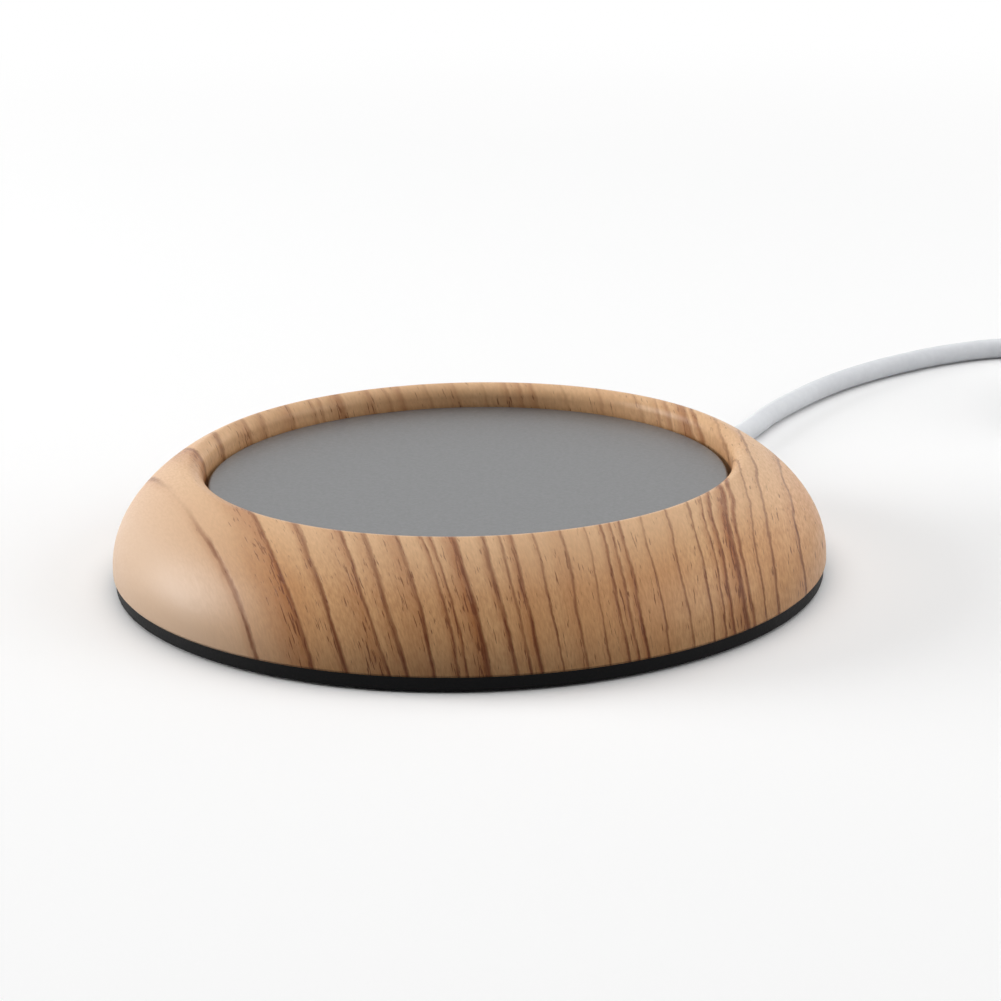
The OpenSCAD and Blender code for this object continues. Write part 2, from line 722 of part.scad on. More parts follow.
// Rings of a bend relief between two radii, cut by grooves
ring_groove = 0.4;
function relief_rings(z, l, r0, r1, count) = [
    for (i = [0:count - 1]) let (
        step = l / count,
        r = r0 + (r1 - r0) * i / count,
        q = r0 + (r1 - r0) * (i + 1) / count)
    for (p = [[r, 0], [q, 0.62], [q - ring_groove, 0.68], [q - ring_groove, 0.94]])
        [p[0], z + (i + p[1]) * step]];

module strain_relief() {
    tip = relief_end_y - relief_seat_y;
    collar = collar_y - relief_seat_y;
    taper = collar + flange_t;
    root_r = flange_r - 0.3;
    color("#eceff1") along_y(relief_seat_y, exit_z) rotate_extrude($fn = 64) polygon(concat(
        [[cord_r + fit, -flange_t], [flange_r, -flange_t], [flange_r, 0], [neck_r, 0],
         [neck_r, collar], [flange_r, collar]],
        arc([flange_r - 0.5, taper - 0.5], 0.5, 0, 90, 4),
        [[root_r, taper]],
        relief_rings(taper + 0.4, relief_l - 1, root_r, cord_r + 0.7, 4),
        [[cord_r + 0.6, tip], [cord_r + fit, tip]]));
}

module cord_inlet() {
    color("#eceff1") along_y(inlet_y, exit_z) cylinder(d = cord_d, h = relief_end_y - inlet_y, $fn = 48);
}

module power_cord() {
    color("#eceff1") tube(power_route, cord_d);
}

module switch_lead() {
    color("#eceff1") tube(switch_route, cord_d);
}

module plug_lead() {
    color("#eceff1") tube(plug_route, cord_d);
}

// Section of the bundled turns, grown by rim all round
module bundle_section(rim) {
    r = cord_r + rim;
    w = bundle_w + 2 * rim;
    h = bundle_h + 2 * rim;
    square([w - 2 * r, h], center = true);
    square([w, h - 2 * r], center = true);
    for (x = [-1, 1], y = [-1, 1]) translate([x * (w / 2 - r), y * (h / 2 - r)]) circle(r, $fn = 32);
}

module cord_coil() {
    color("#eceff1") translate([coil_at[0], coil_at[1], coil_z + bundle_h / 2])
        rotate_extrude() translate([coil_d / 2, 0]) bundle_section(0);
}

module coil_tie() {
    color("#eeeeee") translate([coil_at[0], coil_at[1], coil_z + bundle_h / 2])
        rotate(250 - tie_angle / 2) rotate_extrude(angle = tie_angle) translate([coil_d / 2, 0])
            difference() {
                bundle_section(tie_t);
                bundle_section(fit);
            }
}

// ---------- in-line switch, drawn along X and laid on the table ----------
module lay_switch() {
    translate([switch_at[0], switch_at[1], 0]) rotate(switch_turn) children();
}

// Outside of the switch set in by depth: a rounded plan under a crowned top
module switch_form(depth) {
    half = switch_l / 2 - depth;
    rise = switch_h - switch_end_h;
    crown_r = (half * half + rise * rise) / (2 * rise);
    intersection() {
        translate([0, 0, depth])
            rounded_plate(2 * half, switch_w - 2 * depth, switch_h, switch_corner_r - depth);
        rotate([90, 0, 0]) translate([0, 0, -switch_w]) linear_extrude(2 * switch_w) polygon(concat(
            [[-half - 1, depth], [half + 1, depth]],
            [for (i = [0:12]) let (x = half * (1 - i / 6))
                [x + (i == 0 ? 1 : i == 12 ? -1 : 0),
                 switch_h - depth - crown_r + sqrt(crown_r * crown_r - x * x)]]));
    }
}

// Room above or below the seam, as wide as the switch
module half_space(z0, z1) {
    translate([-switch_l, -switch_w, z0]) cube([2 * switch_l, 2 * switch_w, z1 - z0]);
}

pillar_r = 2.4;
pilot_r = 1;
switch_head_r = 2.1;
// Cord entries at both ends
module switch_entries() {
    translate([-switch_l, 0, switch_seam_z]) rotate([0, 90, 0])
        cylinder(r = cord_r + fit, h = 2 * switch_l, $fn = 48);
}

module at_pillars() {
    for (s = [-1, 1]) translate([s * switch_screw_x, 0, 0]) children();
}

module switch_lower_shell() {
    bed_w = cord_d + 3.2;
    bed_t = 2.2;
    bed_x = switch_l / 2 - switch_wall - bed_t + 0.1;
    color("#f2f2f2") lay_switch() difference() {
        union() {
            difference() {
                intersection() {
                    switch_form(0);
                    half_space(0, switch_seam_z);
                }
                translate([0, 0, switch_wall]) rounded_plate(switch_l - 2 * switch_wall,
                    switch_w - 2 * switch_wall, switch_h, switch_corner_r - switch_wall);
            }
            // Screw pillar and cord bed at each end
            at_pillars() cylinder_from(switch_wall / 2, switch_seam_z, pillar_r);
            for (s = [0, 180]) rotate(s) translate([bed_x, -bed_w / 2, switch_wall / 2])
                cube([bed_t, bed_w, switch_seam_z - switch_wall / 2]);
        }
        switch_entries();
        // Clearance holes with counterbores for the screw heads
        at_pillars() cylinder_from(-over, switch_seam_z + over, pilot_r + 0.15);
        at_pillars() cylinder_from(-over, switch_wall, switch_head_r);
    }
}

module switch_upper_shell() {
    cheek_l = 6;
    color("#f2f2f2") lay_switch() difference() {
        union() {
            difference() {
                intersection() {
                    switch_form(0);
                    half_space(switch_seam_z, switch_h);
                }
                intersection() {
                    switch_form(switch_wall);
                    half_space(0, switch_h);
                }
            }
            // Screw pillars, and cheeks that carry the rocker's trunnions
            intersection() {
                switch_form(switch_wall / 2);
                union() {
                    at_pillars() cylinder_from(switch_seam_z, switch_h, pillar_r);
                    for (s = [0, 180]) rotate(s)
                        translate([-cheek_l / 2, rocker_w / 2 + rocker_gap, switch_seam_z + rocker_gap])
                            cube([cheek_l, trunnion_l, switch_h]);
                }
            }
        }
        // Opening that follows the rocker's swing
        translate(pivot_at) rotate([90, 0, 0]) translate([0, 0, -rocker_w / 2 - rocker_gap])
            cylinder(r = rocker_r + rocker_gap, h = rocker_w + 2 * rocker_gap);
        translate(pivot_at) rotate([90, 0, 0]) translate([0, 0, -rocker_w])
            cylinder(r = trunnion_d / 2 + fit, h = 2 * rocker_w, $fn = 32);
        switch_entries();
        at_pillars() cylinder_from(switch_seam_z - over, switch_seam_z + 4, pilot_r + fit);
    }
}

// Rocker: round ends about the pivot, a shallow V on top
rocker_floor = -2.5;
rocker_dip = 3.2;
rocker_horn = 4.4;
module rocker_pose() {
    translate(pivot_at) rotate([0, rocker_rest, 0]) children();
}

module switch_rocker() {
    color("#d9dcdf") lay_switch() rocker_pose() {
        rotate([90, 0, 0]) translate([0, 0, -rocker_w / 2]) linear_extrude(rocker_w) intersection() {
            circle(rocker_r, $fn = 96);
            polygon([[-rocker_r, rocker_floor], [rocker_r, rocker_floor], [rocker_r, rocker_horn + 0.3],
                [0, rocker_dip], [-rocker_r, rocker_horn + 0.3]]);
        }
        rotate([90, 0, 0]) translate([0, 0, -rocker_w / 2 - trunnion_l])
            cylinder(d = trunnion_d, h = rocker_w + 2 * trunnion_l, $fn = 32);
    }
}

bridge_t = 0.4;
bridge_x = 3;
bridge_l = 3.5;
bridge_w = 6.8;
module switch_bridge() {
    color("#c9a227") lay_switch() rocker_pose()
        translate([bridge_x, -bridge_w / 2, rocker_floor - bridge_t]) cube([bridge_l, bridge_w, bridge_t]);
}

// Lowest reach of the bridge when the rocker is switched on
contact_z = pivot_z + (rocker_floor - bridge_t) * cos(rocker_angle / 2)
    - (bridge_x + bridge_l) * sin(rocker_angle / 2) - fit;
contact_y = 2.2;
contact_w = 1.8;
blade_x = 3.8;
blade_l = 2.6;
// One contact: a blade on a post that rises from a foot on the lower shell's floor
module contact(post_x, foot_from, foot_to) {
    translate([blade_x, -contact_w / 2, contact_z - bridge_t]) cube([blade_l, contact_w, bridge_t]);
    translate([post_x, -contact_w / 2, switch_wall]) cube([bridge_t, contact_w, contact_z - switch_wall]);
    translate([foot_from, -contact_w / 2, switch_wall]) cube([foot_to - foot_from, contact_w, bridge_t]);
}

module switch_contacts() {
    far_post_x = blade_x + blade_l - bridge_t;
    color("#c9a227") lay_switch() {
        translate([0, contact_y, 0]) contact(far_post_x, far_post_x, 10);
        translate([0, -contact_y, 0]) contact(blade_x, -6, blade_x + bridge_t);
    }
}

module switch_wires() {
    end_x = switch_l / 2 - switch_grip;
    low_z = switch_wall + bridge_t + wire_d / 2;
    high_z = switch_seam_z - 1;
    side_y = switch_w / 2 - switch_wall - wire_d;
    out_x = end_x - 1;
    in_x = end_x - 3;
    round_y = pillar_r + wire_d;
    color("#c0392b") lay_switch() {
        tube([[end_x, wire_x, switch_seam_z], [out_x, wire_x, switch_seam_z], [in_x, 2.4, high_z],
            [switch_screw_x, round_y, 3.6], [11.5, 3, low_z + 0.2], [9.6, contact_y, low_z],
            [8, contact_y, low_z]], wire_d, 2);
        tube([[-end_x, wire_x, switch_seam_z], [-out_x, wire_x, switch_seam_z], [-in_x, 2.4, high_z],
            [-switch_screw_x, round_y, 3.6], [-11, 2, low_z + 0.4], [-8, 1 - contact_y, low_z],
            [-5, -contact_y, low_z], [-3.5, -contact_y, low_z]], wire_d, 2);
        tube([[end_x, -wire_x, switch_seam_z], [out_x, -wire_x, switch_seam_z], [in_x, -3, high_z],
            [switch_screw_x, -round_y - 0.8, 4], [9, -side_y, 3.4], [0, -side_y, 3.4],
            [-9, -side_y, 3.4], [-switch_screw_x, -round_y - 0.8, 4], [-in_x, -3, high_z],
            [-out_x, -wire_x, switch_seam_z], [-end_x, -wire_x, switch_seam_z]], wire_d, 2);
    }
}

module switch_screws() {
    color("silver") lay_switch() at_pillars() translate([0, 0, switch_wall])
        screw(2 * pilot_r, switch_seam_z + 1.6, 2 * switch_head_r - 0.4, 1.3);
}

// ---------- USB plug, drawn along X and laid on the table ----------
usb_w = 12;
usb_h = 4.5;
usb_sheet = 0.3;
usb_out = 12;
usb_in = 4;
latch_w = 2.5;
latch_x = 5.2;
latch_y = 2.9;
tongue_t = 1.8;
module lay_plug() {
    translate([plug_at[0], plug_at[1], plug_z]) rotate(plug_turn) children();
}

module usb_tube(grow, from, l) {
    translate([from, -usb_w / 2 - grow, -usb_h / 2 - grow]) cube([l, usb_w + 2 * grow, usb_h + 2 * grow]);
}

module usb_grip() {
    color("#eceff1") lay_plug() difference() {
        union() {
            // Body: rounded in plan, its faces dished for finger and thumb
            difference() {
                translate([tail_l + grip_l / 2, 0, -grip_h / 2]) rounded_plate(grip_l, grip_w, grip_h, 2.4);
                for (s = [-1, 1]) translate([tail_l + grip_l / 2 - 1, 0, s * (grip_h / 2 + 29.2)])
                    rotate([90, 0, 0]) translate([0, 0, -grip_w]) cylinder(r = 30, h = 2 * grip_w);
            }
            rotate([0, 90, 0]) rotate_extrude($fn = 48) polygon(concat(
                [[0, tail_l + 1], [0, 0], [cord_r + 0.7, 0]],
                [for (p = relief_rings(0.4, tail_l - 1, cord_r + 0.7, cord_r + 1.4, 5)) p],
                [[cord_r + 1.4, tail_l + 1]]));
        }
        rotate([0, 90, 0]) translate([0, 0, -over])
            cylinder(r = cord_r + fit, h = plug_bore_l + over, $fn = 48);
        usb_tube(fit, tail_l + grip_l - usb_in, usb_in + over);
    }
}

module usb_shell() {
    from = tail_l + grip_l - usb_in;
    l = usb_in + usb_out;
    color("#c8ccd0") lay_plug() difference() {
        usb_tube(0, from, l);
        usb_tube(-usb_sheet, from - over, l + 2 * over);
        // Latch windows, right through both faces
        for (s = [-1, 1]) translate([from + l - latch_x, s * latch_y - latch_w / 2, -usb_h])
            cube([latch_w, latch_w, 2 * usb_h]);
    }
}

module usb_tongue() {
    from = tail_l + grip_l - usb_in;
    room = usb_sheet + fit;
    color("#f5f5f5") lay_plug() translate([from, room - usb_w / 2, room - usb_h / 2]) {
        cube([usb_in + usb_out - 0.6, usb_w - 2 * room, tongue_t]);
        cube([usb_in, usb_w - 2 * room, usb_h - 2 * room]);
    }
}

module usb_contacts() {
    top = -usb_h / 2 + usb_sheet + fit + tongue_t;
    color("#d4af37") lay_plug() for (y = [-3.5, -1, 1, 3.5])
        translate([tail_l + grip_l, y - 0.5, top]) cube([usb_out - 1.6, 1, 0.15]);
}

rim_shell();
base_cover();
foot_ring();
base_screws();
heating_plate();
plate_seal();
heater_film();
heater_track();
insulation_pad();
heat_shield();
shield_screws();
thermal_cutout();
cutout_tabs();
cutout_clip();
clip_screws();
live_wire();
link_wire();
return_wire();
wire_sleeves();
cord_clamp();
clamp_screws();
strain_relief();
cord_inlet();
power_cord();
cord_coil();
coil_tie();
switch_lead();
switch_lower_shell();
switch_upper_shell();
switch_rocker();
switch_bridge();
switch_contacts();
switch_wires();
switch_screws();
plug_lead();
usb_grip();
usb_shell();
usb_tongue();
usb_contacts();
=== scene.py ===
import math

import bpy
from mathutils import Matrix, Vector


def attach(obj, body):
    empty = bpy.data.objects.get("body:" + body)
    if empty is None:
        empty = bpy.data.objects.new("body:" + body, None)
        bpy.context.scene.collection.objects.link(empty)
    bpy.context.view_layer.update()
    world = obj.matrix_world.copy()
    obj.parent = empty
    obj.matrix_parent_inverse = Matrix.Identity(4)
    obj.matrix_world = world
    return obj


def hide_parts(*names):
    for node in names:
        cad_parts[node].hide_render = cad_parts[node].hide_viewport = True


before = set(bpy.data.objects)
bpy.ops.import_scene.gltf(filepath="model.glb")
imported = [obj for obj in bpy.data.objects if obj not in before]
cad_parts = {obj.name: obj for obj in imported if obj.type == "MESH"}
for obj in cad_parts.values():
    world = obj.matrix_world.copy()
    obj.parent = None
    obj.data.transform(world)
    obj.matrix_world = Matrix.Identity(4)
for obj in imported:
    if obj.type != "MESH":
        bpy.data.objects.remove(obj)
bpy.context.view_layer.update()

bpy.ops.object.select_all(action="DESELECT")
mm = 0.001

# ---------------------------------------------------------------------------
# Camera. A long lens stands low over the table and a little tipped, so the
# casing shows its plate as a flat ellipse above a deep front wall.
view_turn = math.radians(36)
view_drop = math.radians(17.0)
view_roll = math.radians(-1.1)
out = math.cos(view_drop)
back = Vector((math.sin(view_turn) * out, -math.cos(view_turn) * out, math.sin(view_drop)))
level = Vector((math.cos(view_turn), math.sin(view_turn), 0))
upright = back.cross(level)
aside = math.cos(view_roll) * level + math.sin(view_roll) * upright
above = math.cos(view_roll) * upright - math.sin(view_roll) * level
bpy.ops.object.camera_add()
camera = bpy.context.object
camera.name = "studio_camera"
stand = Matrix.Translation(Vector((251.36, -337.59, 139.62)) * mm)
camera.matrix_world = stand @ Matrix((aside, above, back)).transposed().to_4x4()
camera.data.lens = 102.35
camera.data.clip_start = 0.01
bpy.context.scene.camera = camera


# ---------------------------------------------------------------------------
# Lead. A round two-core cable in soft near-white PVC, extruded and so slightly
# uneven. It leaves the strain relief, lies on the table, is wound into a coil
# of seven strands, and runs on to the in-line switch.
def tone(red, green, blue):
    """A colour written 0 to 255, as the shader needs it."""
    parts = [c / 255 for c in (red, green, blue)]
    return tuple(c / 12.92 if c <= 0.04045 else ((c + 0.055) / 1.055) ** 2.4 for c in parts) + (1.0,)


def add(tree, kind, inputs=None, **settings):
    """A node with its inputs set, each to a value or to another node's output."""
    node = tree.nodes.new(kind)
    for name, value in settings.items():
        setattr(node, name, value)
    for name, value in (inputs or {}).items():
        if isinstance(value, bpy.types.NodeSocket):
            tree.links.new(value, node.inputs[name])
        else:
            node.inputs[name].default_value = value
    return node


def new_material(name):
    """A material with its node tree and its shader."""
    material = bpy.data.materials.new(name)
    material.use_nodes = True
    return material, material.node_tree, material.node_tree.nodes["Principled BSDF"]


fine_share = 0.45
tone_from, tone_to = 0.35, 0.65
sheen_from, sheen_to = 0.3, 0.7


def finish(name, tones, rough, grain, bump, metal=0.0, spread=0.06, sizes=(1, 1, 1), cloud=17, **sockets):
    """A surface whose tone and sheen drift over cloud and grain (mm), with a relief of depth bump (mm)."""
    material, tree, shader = new_material(name)
    where = add(tree, "ShaderNodeTexCoord").outputs["Object"]
    place = add(tree, "ShaderNodeMapping", {"Vector": where, "Scale": sizes}).outputs["Vector"]
    drift = add(tree, "ShaderNodeTexNoise", {"Vector": place, "Scale": 1 / (cloud * mm), "Detail": 4.0})
    fine = add(tree, "ShaderNodeTexNoise", {"Vector": place, "Scale": 1 / (grain * mm), "Detail": 3.0})
    shares = {0: fine_share, 2: drift.outputs["Fac"], 3: fine.outputs["Fac"]}
    both = add(tree, "ShaderNodeMix", shares, data_type="FLOAT")
    ramp = add(tree, "ShaderNodeValToRGB", {"Fac": both.outputs[0]})
    for element, place_on_ramp, colour in zip(ramp.color_ramp.elements, (tone_from, tone_to), tones):
        element.position = place_on_ramp
        element.color = tone(*colour)
    tree.links.new(ramp.outputs["Color"], shader.inputs["Base Color"])
    sheen = add(tree, "ShaderNodeMapRange", {
        "Value": both.outputs[0], "From Min": sheen_from, "From Max": sheen_to,
        "To Min": rough - spread, "To Max": rough + spread})
    tree.links.new(sheen.outputs["Result"], shader.inputs["Roughness"])
    relief = add(tree, "ShaderNodeBump", {
        "Height": fine.outputs["Fac"], "Strength": 1.0, "Distance": bump * mm})
    tree.links.new(relief.outputs["Normal"], shader.inputs["Normal"])
    shader.inputs["Metallic"].default_value = metal
    for socket, value in sockets.items():
        shader.inputs[socket.replace("_", " ")].default_value = value
    return material


def paint(material, *names):
    """CAD nodes get that material in all their slots."""
    for name in names:
        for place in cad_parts[name].material_slots:
            place.material = material


lead_d = 3.8
lead_pvc = finish("lead_pvc", ((212, 214, 218), (222, 224, 227)), 0.6, 1.6, 0.006, Subsurface_Weight=0.8,
                  Subsurface_Radius=(1, 1, 1), Subsurface_Scale=3.0 * mm, Specular_IOR_Level=0.15)


def lay_lead(name, points):
    """A round cable on one smooth curve through points given in millimetres."""
    line = bpy.data.curves.new(name, "CURVE")
    line.dimensions = "3D"
    line.resolution_u = 8
    line.bevel_depth = lead_d / 2 * mm
    line.bevel_resolution = 5
    line.use_fill_caps = True
    run = line.splines.new("BEZIER")
    run.bezier_points.add(len(points) - 1)
    for knot, point in zip(run.bezier_points, points):
        knot.co = Vector(point) * mm
        knot.handle_left_type = knot.handle_right_type = "AUTO"
    lead = bpy.data.objects.new(name, line)
    bpy.context.collection.objects.link(lead)
    line.materials.append(lead_pvc)
    return lead


# The stretch from the casing to the coil, on the table
table_gap = 0.05
low = lead_d / 2 + table_gap
boot_end = (0, 64, 4.6)
to_coil = [
    boot_end, (0, 66, 4.55), (0, 70, 3.95), (0, 75, 2.7), (-0.2, 80, low), (-1.2, 87, low), (-2.9, 96, low),
    (-4, 108, low), (-4.2, 119, low), (-3.2, 130, low), (-0.5, 142, low), (3.8, 153.5, low), (10, 163, low),
    (19, 170.5, low), (31, 175.5, low), (43, 176.5, low), (54.5, 173.5, low + 0.3), (64, 168, 2.6),
]
# Coil: strands two, three and two high, each a lead's width from the next
coil_at = (58, 143)
coil_r = 21
coil_low = 2.7
row_rise = lead_d * math.sin(math.radians(60))
strands = [
    (coil_r + low, coil_low), (coil_r - low, coil_low), (coil_r - lead_d, coil_low + row_rise),
    (coil_r, coil_low + row_rise), (coil_r - low, coil_low + 2 * row_rise),
    (coil_r + low, coil_low + 2 * row_rise),
    (coil_r + lead_d, coil_low + row_rise),
]
coil_start = 53.9
whole_turns = 6
coil_turn = whole_turns * 360 + coil_start
strand_turn = coil_turn / len(strands)
shift_turn = 70
points_a_turn = 16


def coil_point(turned):
    """Where the wound lead is after that many degrees, counted clockwise."""
    last = min(int(turned / strand_turn), len(strands) - 1)
    r, z = strands[last]
    for edge in (last, last + 1):
        if 0 < edge < len(strands):
            share = min(1, max(0, (turned - edge * strand_turn) / shift_turn + 0.5))
            share = share * share * (3 - 2 * share)
            if edge == last and share < 1 or edge == last + 1 and share > 0:
                (r0, z0), (r1, z1) = strands[edge - 1], strands[edge]
                r, z = r0 + (r1 - r0) * share, z0 + (z1 - z0) * share
    turn = math.radians(coil_start - turned)
    return (coil_at[0] + r * math.cos(turn), coil_at[1] + r * math.sin(turn), z)


steps = round(coil_turn / 360 * points_a_turn)
coil = [coil_point(coil_turn * i / steps) for i in range(steps + 1)]
seam_high = 5.6
to_switch = [
    (82.8, 138, 5.5), (83.2, 131, 4.7), (84.2, 124, 4.4), (85.4, 117, 5.0), (86, 110, seam_high),
    (86, 106.5, seam_high),
]
casing_lead = lay_lead("casing_lead", to_coil + coil + to_switch)
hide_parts("power_cord", "cord_coil", "switch_lead")
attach(casing_lead, "warmer")

# The short stretch from the switch round to the plug
switch_end = (86, 64, seam_high)
to_plug = [
    (86, 67.5, seam_high), switch_end, (86, 58, 4.7), (87.2, 50, 2.9), (90.7, 44.7, 2.1), (96, 41.2, low),
    (102, 40, low), (108, 41.2, low), (113.3, 44.7, 2.1), (116.8, 50, 2.9), (118, 56, 4), (118, 62, 4),
    (118, 70, 4),
]
plug_lead = lay_lead("plug_lead_run", to_plug)
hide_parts("plug_lead")
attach(plug_lead, "warmer")

# ---------------------------------------------------------------------------
# Strain relief. Soft PVC moulded round the lead, its flange behind the rim and
# its collar and grooved taper outside, with the lead's own stretch through it.
boot_pvc = finish("boot_pvc", ((216, 219, 222), (228, 231, 233)), 0.46, 0.9, 0.03)
paint(boot_pvc, "strain_relief")
paint(lead_pvc, "cord_inlet")

# ---------------------------------------------------------------------------
# Base. A black ABS cover with a finely spark-eroded skin, a rubber ring let into
# its underside so the casing stays put, and four screws up into the rim.
base_abs = finish("base_abs", ((4, 4, 5), (9, 9, 10)), 0.55, 0.35, 0.05, spread=0.1,
                  Specular_IOR_Level=0.12)
foot_rubber = finish("foot_rubber", ((30, 30, 33), (42, 42, 45)), 0.78, 0.25, 0.04)
zinc = finish("zinc", ((168, 168, 172), (188, 188, 190)), 0.34, 0.5, 0.01, metal=1.0)
paint(base_abs, "base_cover")
paint(foot_rubber, "foot_ring")
paint(zinc, "base_screws")


# ---------------------------------------------------------------------------
# Rim. A tan ABS moulding with a printed wood-grain film drawn over its outside,
# over the crest and down to the plate, and trimmed at the seam and the lead's notch.
def calc(tree, operation, *values):
    """The output of one sum, of numbers and other nodes' outputs."""
    node = tree.nodes.new("ShaderNodeMath")
    node.operation = operation
    for socket, value in zip(node.inputs, values):
        if isinstance(value, bpy.types.NodeSocket):
            tree.links.new(value, socket)
        else:
            socket.default_value = value
    return node.outputs[0]


def along(a, b, c, d, share):
    """A point on the curve from a to d with its handles at b and c."""
    left = 1 - share
    weights = (left ** 3, 3 * left * left * share, 3 * left * share * share, share ** 3)
    return tuple(sum(w * p[i] for w, p in zip(weights, (a, b, c, d))) for i in range(2))


def start_piece(name):
    """The object just added gets its name, and is opened for editing with all of it selected."""
    bpy.context.object.name = name
    bpy.ops.object.mode_set(mode="EDIT")
    bpy.ops.mesh.select_all(action="SELECT")
    return bpy.context.object


def pick(piece):
    """That piece alone is selected, and active."""
    bpy.ops.object.select_all(action="DESELECT")
    bpy.context.view_layer.objects.active = piece
    piece.select_set(True)


def apply_all(piece):
    """The piece's modifiers become its mesh."""
    bpy.ops.object.mode_set(mode="OBJECT")
    for modifier in list(piece.modifiers):
        bpy.ops.object.modifier_apply(modifier=modifier.name)


bay_r, lip_r, case_r = 40.7, 2.0, 55.0
crest_r = bay_r + lip_r
crest_z, bay_z, waist_z, seam_z = 18.7, 12.9, 3.4, 2.4
film_out, film_t = 0.06, 0.12
lip_step = 10
shoulder_steps = 28
level_share, upright_share = 0.08, 0.62
hem_in, hem_rise, hem_gap = 0.26, 0.35, 0.04
rolled = [(bay_r, bay_z)]
for angle in range(0, 90, lip_step):
    turn = math.radians(angle)
    rolled.append((crest_r - lip_r * math.cos(turn), crest_z - lip_r + lip_r * math.sin(turn)))
level_r = crest_r + level_share * (case_r - crest_r)
upright_z = waist_z + upright_share * (crest_z - waist_z)
bends = (crest_r, crest_z), (level_r, crest_z), (case_r, upright_z), (case_r, waist_z)
shoulder = [along(*bends, i / shoulder_steps) for i in range(shoulder_steps + 1)]
outline = rolled + shoulder + [(case_r, seam_z + hem_rise), (case_r - hem_in, seam_z + hem_gap)]
skin = []
for i, (r, z) in enumerate(outline):
    (r0, z0), (r1, z1) = outline[max(i - 1, 0)], outline[min(i + 1, len(outline) - 1)]
    length = math.hypot(r1 - r0, z1 - z0)
    skin.append((r - film_out * (z1 - z0) / length, z + film_out * (r1 - r0) / length))

bpy.ops.object.select_all(action="DESELECT")
bpy.ops.mesh.primitive_circle_add(vertices=256, radius=skin[0][0] * mm)
rim_film = start_piece("rim_film")
bpy.ops.transform.translate(value=(0, 0, skin[0][1] * mm))
for (r0, z0), (r1, z1) in zip(skin, skin[1:]):
    bpy.ops.mesh.extrude_edges_move(TRANSFORM_OT_translate={"value": (0, 0, (z1 - z0) * mm)})
    bpy.ops.transform.resize(value=(r1 / r0, r1 / r0, 1), center_override=(0, 0, z1 * mm))
bpy.ops.mesh.select_all(action="SELECT")
bpy.ops.mesh.normals_make_consistent(inside=False)
wall = rim_film.modifiers.new("wall", "SOLIDIFY")
wall.thickness = film_t * mm
wall.offset = -1
apply_all(rim_film)

# The notch: round over the strain relief, square over the base's saddle
neck_r, exit_z, saddle_x = 2.85, 4.6, 4.05
notch_y, notch_l = 54, 12
bpy.ops.object.select_all(action="DESELECT")
bpy.ops.mesh.primitive_cylinder_add(vertices=64, radius=neck_r * mm, depth=notch_l * mm,
                                    location=(0, notch_y * mm, exit_z * mm), rotation=(math.pi / 2, 0, 0))
round_cut = bpy.context.object
bpy.ops.mesh.primitive_cube_add(size=1, location=(0, notch_y * mm, exit_z / 2 * mm),
                                scale=(2 * saddle_x * mm, notch_l * mm, exit_z * mm))
square_cut = bpy.context.object
pick(rim_film)
for cutter in (round_cut, square_cut):
    notch = rim_film.modifiers.new("notch", "BOOLEAN")
    notch.operation = "DIFFERENCE"
    notch.solver = "EXACT"
    notch.object = cutter
    bpy.ops.object.modifier_apply(modifier=notch.name)
bpy.ops.object.shade_smooth_by_angle(angle=math.radians(35))
for cutter in (round_cut, square_cut):
    bpy.data.objects.remove(cutter)

# Grain: the board's growth rings run up the front and lean to the left. Each ring is a
# dark line with a porous, redder band on its left, and pores follow it as short dashes.
# A row holds the column of the camera's frame where the line crosses the front wall, read
# on sight_row, then the line's half width (mm) and depth, and its band's width (mm) and tone.
frame_side = 1001
sight_row = 590
growth = [
    (231, 0.45, 0.90, 1.6, 0.45), (287, 0.40, 0.80, 6.0, 0.80), (323, 0.50, 0.95, 1.6, 0.50),
    (364, 0.35, 0.85, 4.0, 0.70), (384, 0.45, 0.95, 2.4, 0.50), (414, 0.40, 0.90, 3.6, 0.60),
    (439, 0.25, 0.70, 1.2, 0.60), (447, 0.25, 0.70, 1.0, 0.70), (469, 0.60, 1.00, 3.0, 1.00),
    (498, 0.45, 1.00, 1.6, 0.60), (514, 0.30, 0.85, 1.0, 0.35), (525, 0.40, 1.00, 1.4, 0.60),
    (547, 0.25, 0.70, 1.2, 0.30), (574, 0.30, 0.60, 3.0, 0.40), (598, 0.20, 0.50, 1.0, 0.20),
    (616, 0.30, 0.90, 1.2, 0.50), (626, 0.25, 0.75, 1.4, 0.65), (636, 0.30, 0.85, 1.5, 0.70),
    (658, 0.20, 0.65, 1.0, 0.25), (684, 0.25, 0.80, 1.2, 0.30), (709, 0.25, 0.85, 1.2, 0.30),
    (722, 0.20, 0.55, 1.2, 0.50), (730, 0.30, 0.80, 1.3, 0.80), (743, 0.50, 0.90, 1.9, 1.00),
    (750, 0.30, 0.60, 1.1, 0.80), (764, 0.20, 0.60, 1.2, 0.30), (778, 0.25, 0.80, 1.2, 0.30),
    (804, 0.25, 0.65, 2.0, 0.35),
]
grain_turn = math.radians(36)
lean_back, lean_up = 0.2, 0.2
fan_back, fan_up = 0.004, 0.002


def board_place(column):
    """How far across the board the camera's sight at that column and sight_row meets the film, in mm."""
    focus = camera.data.lens / camera.data.sensor_width * frame_side
    sight = (column - frame_side / 2) * aside + (frame_side / 2 - sight_row) * above - focus * back
    hit, met, *_ = rim_film.ray_cast(stand.translation, sight.normalized())
    if not hit:
        raise ValueError(f"column {column} misses the film")
    met = met / mm
    across = met.x * math.cos(grain_turn) + met.y * math.sin(grain_turn)
    deep = met.y * math.cos(grain_turn) - met.x * math.sin(grain_turn)
    return across * (1 - fan_back * deep - fan_up * met.z) + lean_back * deep + lean_up * met.z


